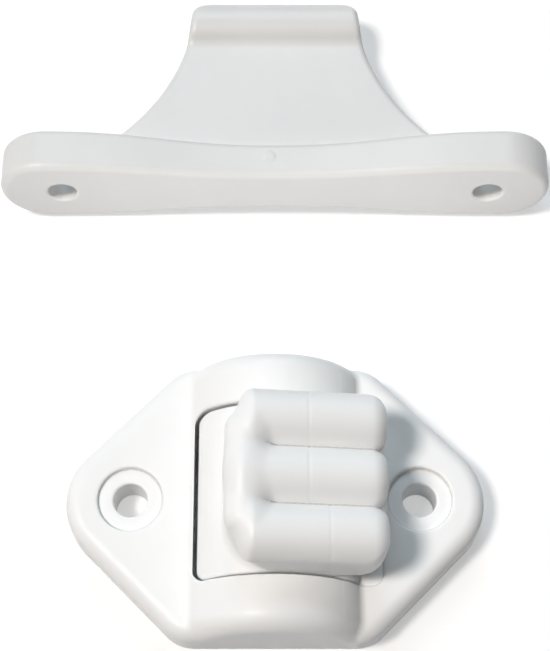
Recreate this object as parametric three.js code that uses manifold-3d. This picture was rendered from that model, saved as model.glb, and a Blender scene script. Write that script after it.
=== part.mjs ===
// Two-part door catch: a wall catch with a sprung finger lever, and the keeper that it holds.
// Millimetres, +Z up. The catch's back lies on the plane Z = 0, and the origin is the middle of that back.
// The keeper lies beside the catch, on the same plane, with its tongue pointing along +Y.
import * as THREE from 'three';
import { mergeVertices } from 'three/addons/utils/BufferGeometryUtils.js';
import Module from 'manifold-3d';

const wasm = await Module();
wasm.setup();

// Catch base: a diamond flange with a barrel across it
const SCREW_SPACING = 44.4;
const SCREW_HOLE_DIAMETER = 5.2;
const COUNTERBORE_DIAMETER = 10;
const COUNTERBORE_DEPTH = 0.8;
const TIP_RADIUS = 10;
const SIDE_NORMAL = Math.PI / 4;
const BASE_HEIGHT = 43.2;
const BASE_CORNER_RADIUS = 6;
const FLANGE_THICKNESS = 7.4;
const FLANGE_EDGE_RADIUS = 2.4;
const BARREL_WIDTH = 25.8;
const BARREL_RISE = 8.2;
const BARREL_END_RADIUS = 3;
const BARREL_WALL = 2.2;
const CHEEK_THICKNESS = 2.6;
const OPENING_WIDTH = 26.8;
const OPENING_BACK = 12.4;
const OPENING_REACH = 16.5;
const OPENING_CORNER_RADIUS = 2.2;

// Finger lever
const PIVOT_HEIGHT = 5.2;
const HUB_CLEARANCE = 0.6;
const HUB_WALL = 2.4;
const LEVER_SIDE_CLEARANCE = 0.35;
const LEVER_WEB_THICKNESS = 2.6;
const LEVER_BOSS_RADIUS = 2.3;
const HUB_BACK_ANGLE = THREE.MathUtils.degToRad(150);
const HUB_FRONT_ANGLE = THREE.MathUtils.degToRad(22);
const RIDGE_PITCH = 8.65;
const RIDGE_START = -5;
const RIDGE_START_HEIGHT = 20.85;
const RIDGE_START_LENGTH = 2.4;
const RIDGE_HEEL_DROP = 1.6;
const RIDGE_CORNER_RADIUS = 8.5;
const OUTER_RIDGE_SETBACK = 1.6;
const BROW_RADIUS = 3;
const BROW_LENGTH = 13;
const BROW_RISE = 0.8;
const RIDGE_SLOPE = THREE.MathUtils.degToRad(9);
const LEVER_REACH = 16.7;
const LEVER_TIP_RADIUS = 2.6;
const LEVER_CORNER_RADIUS = 4;
const LEVER_BACK_RADIUS = 2.4;
const NOSE_BOTTOM_HEIGHT = 14.8;
const NOSE_ROUND = 1.2;
const NOSE_ROOT_DROP = 2.6;

// Pivot pin, torsion spring, back plate and its screws
const PIN_DIAMETER = 2.5;
const PIN_CLEARANCE = 0.08;
const PIN_END_CLEARANCE = 0.3;
const STOP_CLEARANCE = 0.3;
const LEDGE_CLEARANCE = 0.5;
const SPRING_WIRE = 0.8;
const SPRING_PIN_CLEARANCE = 0.2;
const SPRING_PITCH = 1.3;
const SPRING_TURNS = 5;
const SPRING_LEG_CLEARANCE = 0.3;
const SPRING_BASE_LEG = 8.5;
const SPRING_LEG_ANGLE = THREE.MathUtils.degToRad(69);
const SPRING_BASE_ANGLE = THREE.MathUtils.degToRad(-77);
const SPRING_SIDES = 5;
const SPRING_STEPS_PER_TURN = 8;
const PLATE_THICKNESS = 1;
const PLATE_RIM = 2.2;
const PLATE_HALF_LENGTH = 17.6;
const PLATE_CLEARANCE = 0.25;
const PIN_PAD_LENGTH = 2;
const PLATE_SCREW_DIAMETER = 2;
const PLATE_SCREW_HEAD_DIAMETER = 3.6;
const PLATE_SCREW_HEAD_HEIGHT = 0.8;
const PLATE_SCREW_LENGTH = 4.8;
const PLATE_SCREW_INSET = 2.4;
const PLATE_SCREW_X = 14.6;
const SCREW_CLEARANCE = 0.1;
const SCREW_SLOT_LENGTH = 2.4;
const SCREW_SLOT_WIDTH = 0.5;
const SCREW_SLOT_DEPTH = 0.4;

// Keeper: a dog-bone flange, a flared tongue and a bead along its head
const KEEPER_LENGTH = 90;
const KEEPER_HOLE_SPACING = 69.8;
const KEEPER_HOLE_DIAMETER = 4.8;
const KEEPER_SINK_DIAMETER = 9;
const KEEPER_SINK_DEPTH = 2.1;
const KEEPER_END_HEIGHT = 15;
const KEEPER_WAIST_HEIGHT = 10.2;
const KEEPER_THICKNESS = 7.6;
const KEEPER_MIDDLE_THICKNESS = 6.4;
const KEEPER_EDGE_RADIUS = 1.2;
const TONGUE_LENGTH = 29.7;
const TONGUE_THICKNESS = 4.4;
const TONGUE_ROOT_RADIUS = 1.6;
const HEAD_WIDTH = 28;
const HEAD_CORNER_RADIUS = 4;
const FLARE_WIDTH = 63;
const BEAD_RADIUS = 4.6;
const KEEPER_Y = 51.6;

const ROUND_SEGMENTS = 24;
const BARREL_SEGMENTS = 64;
const ARC_SEGMENTS = 8;
const EDGE_SEGMENTS = 4;
const CUT_MARGIN = 5;
const WELD_DISTANCE = 1e-4;

const white = { color: 0xf1f2f1, roughness: 0.42, metalness: 0 };
const palePlate = { color: 0xe4e5e3, roughness: 0.55, metalness: 0 };
const steel = { color: 0xb9bcc0, roughness: 0.3, metalness: 1 };

// Solids and their placing

function signedVolume(positions, triangles) {
  const a = new THREE.Vector3();
  const b = new THREE.Vector3();
  const c = new THREE.Vector3();
  let sum = 0;
  for (let i = 0; i < triangles.length; i += 3) {
    a.fromArray(positions, 3 * triangles[i]);
    b.fromArray(positions, 3 * triangles[i + 1]);
    c.fromArray(positions, 3 * triangles[i + 2]);
    sum += a.dot(b.cross(c));
  }
  return sum / 6;
}

function solid(geometry) {
  geometry.deleteAttribute('normal');
  geometry.deleteAttribute('uv');
  const welded = mergeVertices(geometry, WELD_DISTANCE);
  const positions = new Float32Array(welded.attributes.position.array);
  const triangles = [];
  for (let i = 0; i < welded.index.count; i += 3) {
    const corners = [0, 1, 2].map((k) => welded.index.getX(i + k));
    if (new Set(corners).size === 3) triangles.push(...corners);
  }
  if (signedVolume(positions, triangles) < 0) triangles.reverse();
  const triVerts = new Uint32Array(triangles);
  return new wasm.Manifold(new wasm.Mesh({ numProp: 3, vertProperties: positions, triVerts }));
}

function meshOf(name, body, look) {
  const { vertProperties, triVerts } = body.getMesh();
  const geometry = new THREE.BufferGeometry();
  geometry.setAttribute('position', new THREE.BufferAttribute(vertProperties, 3));
  geometry.setIndex(new THREE.BufferAttribute(triVerts, 1));
  geometry.computeVertexNormals();
  const mesh = new THREE.Mesh(geometry, new THREE.MeshStandardMaterial(look));
  mesh.name = name;
  return mesh;
}

function box(low, high) {
  const size = high.map((value, i) => value - low[i]);
  const middle = high.map((value, i) => (value + low[i]) / 2);
  return solid(new THREE.BoxGeometry(...size).translate(...middle));
}

// Extrudes an outline given in X and Y along Z
function standing(shape, low, high, options = {}) {
  const settings = { depth: high - low, bevelEnabled: false, curveSegments: ARC_SEGMENTS, ...options };
  return solid(new THREE.ExtrudeGeometry(shape, settings).translate(0, 0, low));
}

// Extrudes an outline given in X and Z along Y, between two values of Y
function across(shape, low, high) {
  const settings = { depth: high - low, bevelEnabled: false, curveSegments: ROUND_SEGMENTS };
  return solid(new THREE.ExtrudeGeometry(shape, settings).rotateX(Math.PI / 2).translate(0, high, 0));
}

// A cylinder along Y on the pivot axis
function onPivot(radius, low, high, segments = ROUND_SEGMENTS) {
  const cylinder = new THREE.CylinderGeometry(radius, radius, high - low, segments);
  return solid(cylinder.translate(0, (low + high) / 2, PIVOT_HEIGHT));
}

// A cylinder along Z
function upright(radius, x, y, low, high) {
  const cylinder = new THREE.CylinderGeometry(radius, radius, high - low, ROUND_SEGMENTS);
  return solid(cylinder.rotateX(Math.PI / 2).translate(x, y, (low + high) / 2));
}

const bothSides = (make) => make(1).add(make(-1));

// Shared places
const halfBase = BASE_HEIGHT / 2;
const halfOpening = OPENING_WIDTH / 2;
const cheekBack = halfOpening + CHEEK_THICKNESS;
const barrelTop = FLANGE_THICKNESS + BARREL_RISE;
const barrelHalfWidth = BARREL_WIDTH / 2;
const barrelRadius = (barrelHalfWidth ** 2 + BARREL_RISE ** 2) / (2 * BARREL_RISE);
const barrelAxis = barrelTop - barrelRadius;
const hubRadius = barrelRadius - HUB_CLEARANCE;
const hubInnerRadius = barrelTop - HUB_CLEARANCE - HUB_WALL - PIVOT_HEIGHT;
const halfLever = halfOpening - LEVER_SIDE_CLEARANCE;
const hubFrontX = hubRadius * Math.cos(HUB_FRONT_ANGLE);
const hubFrontHeight = barrelAxis + hubRadius * Math.sin(HUB_FRONT_ANGLE);
const hubFrontSlope = (hubFrontHeight - PIVOT_HEIGHT) / hubFrontX;
const ledgeStart = hubInnerRadius + LEDGE_CLEARANCE;
const ledgeTop = PIVOT_HEIGHT + ledgeStart * hubFrontSlope - STOP_CLEARANCE;
const sideDistance = (SCREW_SPACING / 2) * Math.cos(SIDE_NORMAL) + TIP_RADIUS;
const plateHalfHeight = halfBase - PLATE_RIM;
const plateCornerSum = (sideDistance - PLATE_RIM) / Math.cos(SIDE_NORMAL);
const plateScrewY = plateCornerSum - PLATE_SCREW_INSET / Math.cos(SIDE_NORMAL) - PLATE_SCREW_X;
const plateScrewPlaces = [[1, 1], [-1, 1], [-1, -1], [1, -1]]
  .map(([x, y]) => [x * PLATE_SCREW_X, y * plateScrewY]);

// Catch base

function baseOutline() {
  const cornerY = halfBase - BASE_CORNER_RADIUS;
  const reach = sideDistance - BASE_CORNER_RADIUS - cornerY * Math.sin(SIDE_NORMAL);
  const cornerX = reach / Math.cos(SIDE_NORMAL);
  const tipX = SCREW_SPACING / 2;
  const shape = new THREE.Shape();
  shape.absarc(tipX, 0, TIP_RADIUS, -SIDE_NORMAL, SIDE_NORMAL, false);
  shape.absarc(cornerX, cornerY, BASE_CORNER_RADIUS, SIDE_NORMAL, Math.PI / 2, false);
  shape.absarc(-cornerX, cornerY, BASE_CORNER_RADIUS, Math.PI / 2, Math.PI - SIDE_NORMAL, false);
  shape.absarc(-tipX, 0, TIP_RADIUS, Math.PI - SIDE_NORMAL, Math.PI + SIDE_NORMAL, false);
  shape.absarc(-cornerX, -cornerY, BASE_CORNER_RADIUS, Math.PI + SIDE_NORMAL, 1.5 * Math.PI, false);
  shape.absarc(cornerX, -cornerY, BASE_CORNER_RADIUS, 1.5 * Math.PI, 2 * Math.PI - SIDE_NORMAL, false);
  shape.closePath();
  return shape;
}

function flange() {
  const edge = {
    bevelEnabled: true,
    bevelThickness: FLANGE_EDGE_RADIUS,
    bevelSize: FLANGE_EDGE_RADIUS,
    bevelOffset: -FLANGE_EDGE_RADIUS,
    bevelSegments: EDGE_SEGMENTS,
  };
  return standing(baseOutline(), -CUT_MARGIN, FLANGE_THICKNESS - FLANGE_EDGE_RADIUS, edge);
}

function barrelProfile(radius, halfLength, endRadius) {
  const points = [new THREE.Vector2(0, -halfLength)];
  for (const end of [-1, 1]) {
    for (let i = 0; i <= ARC_SEGMENTS; i += 1) {
      const turn = (i / ARC_SEGMENTS) * (Math.PI / 2);
      const angle = end < 0 ? turn - Math.PI / 2 : turn;
      const along = end * (halfLength - endRadius) + endRadius * Math.sin(angle);
      points.push(new THREE.Vector2(radius - endRadius + endRadius * Math.cos(angle), along));
    }
  }
  points.push(new THREE.Vector2(0, halfLength));
  return points;
}

function barrel(radius, halfLength, endRadius) {
  const profile = barrelProfile(radius, halfLength, endRadius);
  return solid(new THREE.LatheGeometry(profile, BARREL_SEGMENTS).translate(0, 0, barrelAxis));
}

function roundedRectangle(left, right, halfWidth, rightRadius, leftRadius = rightRadius) {
  const shape = new THREE.Shape();
  const rightX = right - rightRadius;
  const rightY = halfWidth - rightRadius;
  const leftX = left + leftRadius;
  const leftY = halfWidth - leftRadius;
  shape.absarc(rightX, rightY, rightRadius, 0, Math.PI / 2, false);
  shape.absarc(leftX, leftY, leftRadius, Math.PI / 2, Math.PI, false);
  shape.absarc(leftX, -leftY, leftRadius, Math.PI, 1.5 * Math.PI, false);
  shape.absarc(rightX, -rightY, rightRadius, 1.5 * Math.PI, 2 * Math.PI, false);
  shape.closePath();
  return shape;
}

function plateOutline(grow) {
  const halfLength = PLATE_HALF_LENGTH + grow;
  const halfHeight = plateHalfHeight + grow;
  const sum = plateCornerSum + grow / Math.cos(SIDE_NORMAL);
  const quarter = [[halfLength, sum - halfLength], [sum - halfHeight, halfHeight]];
  const half = [...quarter, ...quarter.map(([x, y]) => [-x, y]).reverse()];
  const points = [...half, ...half.map(([x, y]) => [x, -y]).reverse()];
  return new THREE.Shape(points.map(([x, y]) => new THREE.Vector2(x, y)));
}

function opening() {
  const high = barrelTop + CUT_MARGIN;
  const window = roundedRectangle(-OPENING_BACK, OPENING_REACH, halfOpening, OPENING_CORNER_RADIUS);
  const well = roundedRectangle(-OPENING_BACK, ledgeStart, halfOpening, OPENING_CORNER_RADIUS);
  return standing(window, ledgeTop, high).add(standing(well, -CUT_MARGIN, high));
}

function pinSlot() {
  const radius = PIN_DIAMETER / 2 + PIN_CLEARANCE;
  const reach = cheekBack + CUT_MARGIN;
  const seat = onPivot(radius, -reach, reach);
  return seat.add(box([-radius, -reach, -CUT_MARGIN], [radius, reach, PIVOT_HEIGHT]));
}

function screwHole(side) {
  const x = (side * SCREW_SPACING) / 2;
  const high = FLANGE_THICKNESS + CUT_MARGIN;
  const shank = upright(SCREW_HOLE_DIAMETER / 2, x, 0, -CUT_MARGIN, high);
  return shank.add(upright(COUNTERBORE_DIAMETER / 2, x, 0, FLANGE_THICKNESS - COUNTERBORE_DEPTH, high));
}

function cheekHollow(side) {
  const radius = barrelRadius - BARREL_WALL;
  const full = barrel(radius, halfBase - BARREL_WALL, BARREL_END_RADIUS - BARREL_WALL);
  const near = side > 0 ? cheekBack : -halfBase;
  const far = side > 0 ? halfBase : -cheekBack;
  const zone = box([-barrelRadius, near, -barrelRadius], [barrelRadius, far, barrelTop]);
  return full.intersect(zone);
}

function catchBase() {
  const wide = SCREW_SPACING;
  const below = box([-wide, -wide, -barrelRadius - CUT_MARGIN], [wide, wide, 0]);
  const recessHigh = PLATE_THICKNESS + PLATE_CLEARANCE;
  const recess = standing(plateOutline(PLATE_CLEARANCE), -CUT_MARGIN, recessHigh);
  const pilotRadius = PLATE_SCREW_DIAMETER / 2 + SCREW_CLEARANCE;
  const pilotHigh = PLATE_SCREW_LENGTH + PLATE_CLEARANCE;
  let body = flange().add(barrel(barrelRadius, halfBase, BARREL_END_RADIUS));
  body = body.subtract(below).subtract(opening()).subtract(recess).subtract(pinSlot());
  body = body.subtract(bothSides(screwHole)).subtract(bothSides(cheekHollow));
  for (const [x, y] of plateScrewPlaces) {
    body = body.subtract(upright(pilotRadius, x, y, 0, pilotHigh));
  }
  return body;
}

// Finger lever

const ridgeRadius = halfLever - RIDGE_PITCH;
const startX = RIDGE_START - RIDGE_START_LENGTH;
const crestAt = (x) => RIDGE_START_HEIGHT - (x - RIDGE_START) * Math.tan(RIDGE_SLOPE)
  + ridgeRadius / Math.cos(RIDGE_SLOPE);

function hubSector() {
  const shape = new THREE.Shape();
  shape.absarc(0, barrelAxis, hubRadius, HUB_FRONT_ANGLE, HUB_BACK_ANGLE, false);
  shape.lineTo(0, PIVOT_HEIGHT);
  shape.closePath();
  return across(shape, -halfLever, halfLever);
}

// One ridge: the upper half of a round bar with a blunt round start, running down towards the tip
function ridge(y) {
  const length = 2 * (LEVER_REACH - RIDGE_START);
  const setback = (OUTER_RIDGE_SETBACK * Math.abs(y)) / RIDGE_PITCH;
  const place = [RIDGE_START + setback, y, RIDGE_START_HEIGHT - setback * Math.tan(RIDGE_SLOPE)];
  const bar = new THREE.CylinderGeometry(ridgeRadius, ridgeRadius, length, ROUND_SEGMENTS);
  bar.rotateZ(Math.PI / 2).translate(length / 2, 0, 0);
  const start = new THREE.SphereGeometry(ridgeRadius, ROUND_SEGMENTS, 2 * ARC_SEGMENTS);
  start.rotateZ(Math.PI / 2).scale(RIDGE_START_LENGTH / ridgeRadius, 1, 1);
  const [barBody, startBody] = [bar, start]
    .map((part) => solid(part.rotateY(RIDGE_SLOPE).translate(...place)));
  const upward = [Math.sin(RIDGE_SLOPE), 0, Math.cos(RIDGE_SLOPE)];
  const middle = RIDGE_START * upward[0] + RIDGE_START_HEIGHT * upward[2];
  return barBody.add(startBody).trimByPlane(upward, middle);
}

function noseWeb() {
  const rootHeight = NOSE_BOTTOM_HEIGHT - NOSE_ROOT_DROP;
  const centreAtTip = crestAt(LEVER_REACH) - ridgeRadius;
  const shape = new THREE.Shape();
  shape.moveTo(startX, PIVOT_HEIGHT + hubInnerRadius);
  shape.lineTo(hubInnerRadius, rootHeight);
  shape.lineTo(hubFrontX, rootHeight);
  shape.lineTo(LEVER_REACH - NOSE_ROUND, NOSE_BOTTOM_HEIGHT);
  shape.absarc(LEVER_REACH - NOSE_ROUND, NOSE_BOTTOM_HEIGHT + NOSE_ROUND, NOSE_ROUND, -Math.PI / 2, 0, false);
  shape.lineTo(LEVER_REACH, centreAtTip);
  shape.lineTo(RIDGE_START, RIDGE_START_HEIGHT);
  shape.lineTo(startX, RIDGE_START_HEIGHT - RIDGE_HEEL_DROP);
  shape.closePath();
  const plan = roundedRectangle(startX, 2 * LEVER_REACH, halfLever, RIDGE_CORNER_RADIUS);
  return across(shape, -halfLever, halfLever).intersect(standing(plan, 0, crestAt(startX)));
}

// The round brow across the start of the ridges, where the valleys between them run out
function brow() {
  const bar = new THREE.CapsuleGeometry(BROW_RADIUS, BROW_LENGTH, ARC_SEGMENTS, ROUND_SEGMENTS);
  return solid(bar.translate(startX + BROW_RADIUS, 0, RIDGE_START_HEIGHT + BROW_RISE));
}

// Everything under the sloping crest line, with the tip's upper edge rounded
function leverEnvelope() {
  const left = -barrelRadius - CUT_MARGIN;
  const arcX = LEVER_REACH - LEVER_TIP_RADIUS;
  const arcZ = crestAt(arcX) - LEVER_TIP_RADIUS / Math.cos(RIDGE_SLOPE);
  const shape = new THREE.Shape();
  shape.moveTo(left, -CUT_MARGIN);
  shape.lineTo(LEVER_REACH, -CUT_MARGIN);
  shape.absarc(arcX, arcZ, LEVER_TIP_RADIUS, 0, Math.PI / 2 - RIDGE_SLOPE, false);
  shape.lineTo(left, crestAt(left));
  shape.closePath();
  return across(shape, -barrelRadius - CUT_MARGIN, barrelRadius + CUT_MARGIN);
}

// The lever seen from the front, with its corners rounded; the hub's back end swings within its own reach
function leverPlan() {
  const backX = hubRadius * Math.cos(HUB_BACK_ANGLE);
  const backHeight = barrelAxis + hubRadius * Math.sin(HUB_BACK_ANGLE);
  const left = -Math.hypot(backX, backHeight - PIVOT_HEIGHT);
  const shape = roundedRectangle(left, LEVER_REACH, halfLever, LEVER_CORNER_RADIUS, LEVER_BACK_RADIUS);
  return standing(shape, -CUT_MARGIN, crestAt(left) + CUT_MARGIN);
}

function fingerLever() {
  const boss = onPivot(LEVER_BOSS_RADIUS, -halfLever, halfLever);
  let body = hubSector().add(noseWeb()).add(brow()).add(boss);
  for (const y of [-RIDGE_PITCH, 0, RIDGE_PITCH]) body = body.add(ridge(y));
  body = body.intersect(leverEnvelope()).intersect(leverPlan());
  const halfHollow = halfLever - LEVER_WEB_THICKNESS;
  body = body.subtract(onPivot(hubInnerRadius, -halfHollow, halfHollow, BARREL_SEGMENTS));
  const boreRadius = PIN_DIAMETER / 2 + PIN_CLEARANCE;
  return body.subtract(onPivot(boreRadius, -halfLever - CUT_MARGIN, halfLever + CUT_MARGIN));
}

// Pivot pin and torsion spring

function pivotPin() {
  const reach = cheekBack - PIN_END_CLEARANCE;
  return onPivot(PIN_DIAMETER / 2, -reach, reach);
}

const coilRadius = PIN_DIAMETER / 2 + SPRING_PIN_CLEARANCE + SPRING_WIRE / 2;

// Comes from the hub's wall, winds down round the pin and leaves along the back plate
class SpringPath extends THREE.Curve {
  constructor() {
    super();
    this.startAngle = SPRING_LEG_ANGLE;
    this.endAngle = SPRING_BASE_ANGLE - 2 * Math.PI * SPRING_TURNS;
    this.halfLength = (SPRING_PITCH * (this.startAngle - this.endAngle)) / (4 * Math.PI);
    const wallReach = hubInnerRadius - SPRING_LEG_CLEARANCE - SPRING_WIRE / 2;
    this.leverLeg = Math.sqrt(wallReach ** 2 - coilRadius ** 2);
    const perRadian = Math.hypot(coilRadius, SPRING_PITCH / (2 * Math.PI));
    this.coilLength = perRadian * (this.startAngle - this.endAngle);
    this.total = this.leverLeg + this.coilLength + SPRING_BASE_LEG;
  }

  onCoil(angle, target) {
    const share = (this.startAngle - angle) / (this.startAngle - this.endAngle);
    const y = this.halfLength * (2 * share - 1);
    return target.set(coilRadius * Math.cos(angle), y, PIVOT_HEIGHT + coilRadius * Math.sin(angle));
  }

  getPoint(t, target = new THREE.Vector3()) {
    const along = t * this.total - this.leverLeg;
    if (along < 0) {
      this.onCoil(this.startAngle, target);
      target.x += along * Math.sin(this.startAngle);
      target.z -= along * Math.cos(this.startAngle);
      return target;
    }
    if (along > this.coilLength) {
      this.onCoil(this.endAngle, target);
      target.x += (along - this.coilLength) * Math.sin(this.endAngle);
      target.z -= (along - this.coilLength) * Math.cos(this.endAngle);
      return target;
    }
    const share = along / this.coilLength;
    return this.onCoil(this.startAngle + share * (this.endAngle - this.startAngle), target);
  }
}

function torsionSpring() {
  const path = new SpringPath();
  const corners = Array.from({ length: SPRING_SIDES }, (_, i) => (2 * Math.PI * i) / SPRING_SIDES);
  const section = new THREE.Shape(
    corners.map((a) => new THREE.Vector2(Math.cos(a), Math.sin(a)).multiplyScalar(SPRING_WIRE / 2)),
  );
  const steps = Math.round((path.total / (2 * Math.PI * coilRadius)) * SPRING_STEPS_PER_TURN);
  return solid(new THREE.ExtrudeGeometry(section, { steps, extrudePath: path, bevelEnabled: false }));
}

// Back plate and its screws

function backPlate() {
  let body = standing(plateOutline(0), 0, PLATE_THICKNESS);
  const padHalf = PIN_DIAMETER / 2;
  const padHigh = PIVOT_HEIGHT - PIN_DIAMETER / 2 - STOP_CLEARANCE;
  const near = halfOpening + PIN_END_CLEARANCE;
  const pad = (side) => {
    const ends = [side * near, side * (near + PIN_PAD_LENGTH)].sort((a, b) => a - b);
    return box([-padHalf, ends[0], PLATE_THICKNESS / 2], [padHalf, ends[1], padHigh]);
  };
  body = body.add(bothSides(pad));
  for (const [x, y] of plateScrewPlaces) body = body.subtract(plateScrewSpace(x, y));
  return body;
}

function screwProfile(grow) {
  const headRadius = PLATE_SCREW_HEAD_DIAMETER / 2 + grow;
  const shankRadius = PLATE_SCREW_DIAMETER / 2 + grow;
  const points = [[0, 0], [headRadius, 0], [shankRadius, PLATE_SCREW_HEAD_HEIGHT]];
  points.push([shankRadius, PLATE_SCREW_LENGTH - shankRadius], [0, PLATE_SCREW_LENGTH]);
  return points.map(([r, z]) => new THREE.Vector2(r, z));
}

function plateScrewSpace(x, y) {
  const lathe = new THREE.LatheGeometry(screwProfile(SCREW_CLEARANCE), ROUND_SEGMENTS);
  const body = solid(lathe.rotateX(Math.PI / 2).translate(x, y, 0));
  return body.add(upright(PLATE_SCREW_HEAD_DIAMETER / 2 + SCREW_CLEARANCE, x, y, -CUT_MARGIN, 0));
}

function plateScrew(x, y) {
  const lathe = new THREE.LatheGeometry(screwProfile(0), ROUND_SEGMENTS);
  const body = solid(lathe.rotateX(Math.PI / 2).translate(x, y, 0));
  const half = SCREW_SLOT_LENGTH / 2;
  const slot = SCREW_SLOT_WIDTH / 2;
  const slotInX = box([x - half, y - slot, -CUT_MARGIN], [x + half, y + slot, SCREW_SLOT_DEPTH]);
  const slotInY = box([x - slot, y - half, -CUT_MARGIN], [x + slot, y + half, SCREW_SLOT_DEPTH]);
  return body.subtract(slotInX).subtract(slotInY);
}

// Keeper, in its own frame: mounting face at Y = 0, tongue along +Y, flange standing in Z

const beadY = KEEPER_THICKNESS + TONGUE_LENGTH - BEAD_RADIUS;

function dogBone() {
  const endRadius = KEEPER_END_HEIGHT / 2;
  const endX = KEEPER_LENGTH / 2 - endRadius;
  const waist = KEEPER_WAIST_HEIGHT / 2;
  const shape = new THREE.Shape();
  shape.absarc(endX, 0, endRadius, -Math.PI / 2, Math.PI / 2, false);
  shape.bezierCurveTo(endX / 2, endRadius, endX / 2, waist, 0, waist);
  shape.bezierCurveTo(-endX / 2, waist, -endX / 2, endRadius, -endX, endRadius);
  shape.absarc(-endX, 0, endRadius, Math.PI / 2, 1.5 * Math.PI, false);
  shape.bezierCurveTo(-endX / 2, -endRadius, -endX / 2, -waist, 0, -waist);
  shape.bezierCurveTo(endX / 2, -waist, endX / 2, -endRadius, endX, -endRadius);
  return shape;
}

function keeperFlange() {
  const settings = {
    depth: KEEPER_THICKNESS - 2 * KEEPER_EDGE_RADIUS,
    bevelEnabled: true,
    bevelThickness: KEEPER_EDGE_RADIUS,
    bevelSize: KEEPER_EDGE_RADIUS,
    bevelOffset: -KEEPER_EDGE_RADIUS,
    bevelSegments: EDGE_SEGMENTS,
    curveSegments: ARC_SEGMENTS,
  };
  const slab = new THREE.ExtrudeGeometry(dogBone(), settings).rotateX(Math.PI / 2);
  return solid(slab.translate(0, KEEPER_THICKNESS - KEEPER_EDGE_RADIUS, 0));
}

// The flange seen square to the tongue: its back is hollowed towards the middle
function keeperHollow() {
  const endX = (KEEPER_LENGTH - KEEPER_END_HEIGHT) / 2;
  const full = KEEPER_THICKNESS;
  const least = KEEPER_MIDDLE_THICKNESS;
  const far = full + CUT_MARGIN;
  const shape = new THREE.Shape();
  shape.moveTo(endX, far);
  shape.lineTo(-endX, far);
  shape.lineTo(-endX, full);
  shape.bezierCurveTo(-endX / 2, full, -endX / 2, least, 0, least);
  shape.bezierCurveTo(endX / 2, least, endX / 2, full, endX, full);
  shape.closePath();
  return standing(shape, -KEEPER_END_HEIGHT, KEEPER_END_HEIGHT);
}

// The tongue seen square to its flat side: round corners, and sides that flare all the way to the flange
function tonguePlan() {
  const corner = HEAD_CORNER_RADIUS;
  const root = KEEPER_THICKNESS - TONGUE_ROOT_RADIUS;
  const top = KEEPER_THICKNESS + TONGUE_LENGTH;
  const flareOut = (FLARE_WIDTH - HEAD_WIDTH) / 2;
  const sweep = 2 * Math.atan2(flareOut, top - root);
  const flareRadius = flareOut / (1 - Math.cos(sweep));
  const start = Math.asin(corner / flareRadius);
  const flareX = HEAD_WIDTH / 2 + flareRadius;
  const cornerX = flareX - flareRadius * Math.cos(start) - corner;
  const shape = new THREE.Shape();
  shape.absarc(cornerX, top - corner, corner, 0, Math.PI / 2, false);
  shape.absarc(-cornerX, top - corner, corner, Math.PI / 2, Math.PI, false);
  shape.absarc(-flareX, top, flareRadius, -start, -sweep, true);
  shape.absarc(flareX, top, flareRadius, Math.PI + sweep, Math.PI + start, true);
  shape.closePath();
  return shape;
}

// The tongue seen from its edge: bead, flat neck, rounded root
function tongueSide() {
  const half = TONGUE_THICKNESS / 2;
  const neckEnd = beadY - Math.sqrt(BEAD_RADIUS ** 2 - half ** 2);
  const meet = Math.asin(half / BEAD_RADIUS);
  const rootY = KEEPER_MIDDLE_THICKNESS + TONGUE_ROOT_RADIUS;
  const start = KEEPER_MIDDLE_THICKNESS / 2;
  const high = half + TONGUE_ROOT_RADIUS;
  const shape = new THREE.Shape();
  shape.moveTo(start, -high);
  shape.lineTo(KEEPER_MIDDLE_THICKNESS, -high);
  shape.absarc(rootY, -high, TONGUE_ROOT_RADIUS, Math.PI, Math.PI / 2, true);
  shape.lineTo(neckEnd, -half);
  shape.absarc(beadY, 0, BEAD_RADIUS, Math.PI + meet, 3 * Math.PI - meet, false);
  shape.lineTo(rootY, half);
  shape.absarc(rootY, high, TONGUE_ROOT_RADIUS, -Math.PI / 2, -Math.PI, true);
  shape.lineTo(start, high);
  shape.closePath();
  return shape;
}

function tongue() {
  const side = new THREE.ExtrudeGeometry(tongueSide(), {
    depth: KEEPER_LENGTH,
    bevelEnabled: false,
    curveSegments: ROUND_SEGMENTS,
  });
  const turn = new THREE.Matrix4().makeBasis(
    new THREE.Vector3(0, 1, 0),
    new THREE.Vector3(0, 0, 1),
    new THREE.Vector3(1, 0, 0),
  );
  side.applyMatrix4(turn).translate(-KEEPER_LENGTH / 2, 0, 0);
  return solid(side).intersect(standing(tonguePlan(), -KEEPER_END_HEIGHT, KEEPER_END_HEIGHT));
}

function keeperHole(side) {
  const x = (side * KEEPER_HOLE_SPACING) / 2;
  const points = [
    [0, -CUT_MARGIN],
    [KEEPER_HOLE_DIAMETER / 2, -CUT_MARGIN],
    [KEEPER_HOLE_DIAMETER / 2, KEEPER_THICKNESS - KEEPER_SINK_DEPTH],
    [KEEPER_SINK_DIAMETER / 2, KEEPER_THICKNESS],
    [KEEPER_SINK_DIAMETER / 2, KEEPER_THICKNESS + CUT_MARGIN],
    [0, KEEPER_THICKNESS + CUT_MARGIN],
  ].map(([r, y]) => new THREE.Vector2(r, y));
  return solid(new THREE.LatheGeometry(points, ROUND_SEGMENTS).translate(x, 0, 0));
}

function keeper() {
  return keeperFlange().subtract(keeperHollow()).add(tongue()).subtract(bothSides(keeperHole));
}

// The keeper lies on the lower edge of its flange and on its bead
function layKeeper(mesh) {
  const drop = KEEPER_END_HEIGHT / 2 - BEAD_RADIUS;
  const lean = Math.atan2(drop, beadY - KEEPER_THICKNESS / 2);
  const group = new THREE.Group();
  group.add(mesh);
  group.rotation.x = -lean;
  group.updateMatrixWorld(true);
  const low = new THREE.Box3().setFromObject(group, true).min.z;
  group.position.set(0, KEEPER_Y, -low);
  return group;
}

// Assembly

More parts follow.
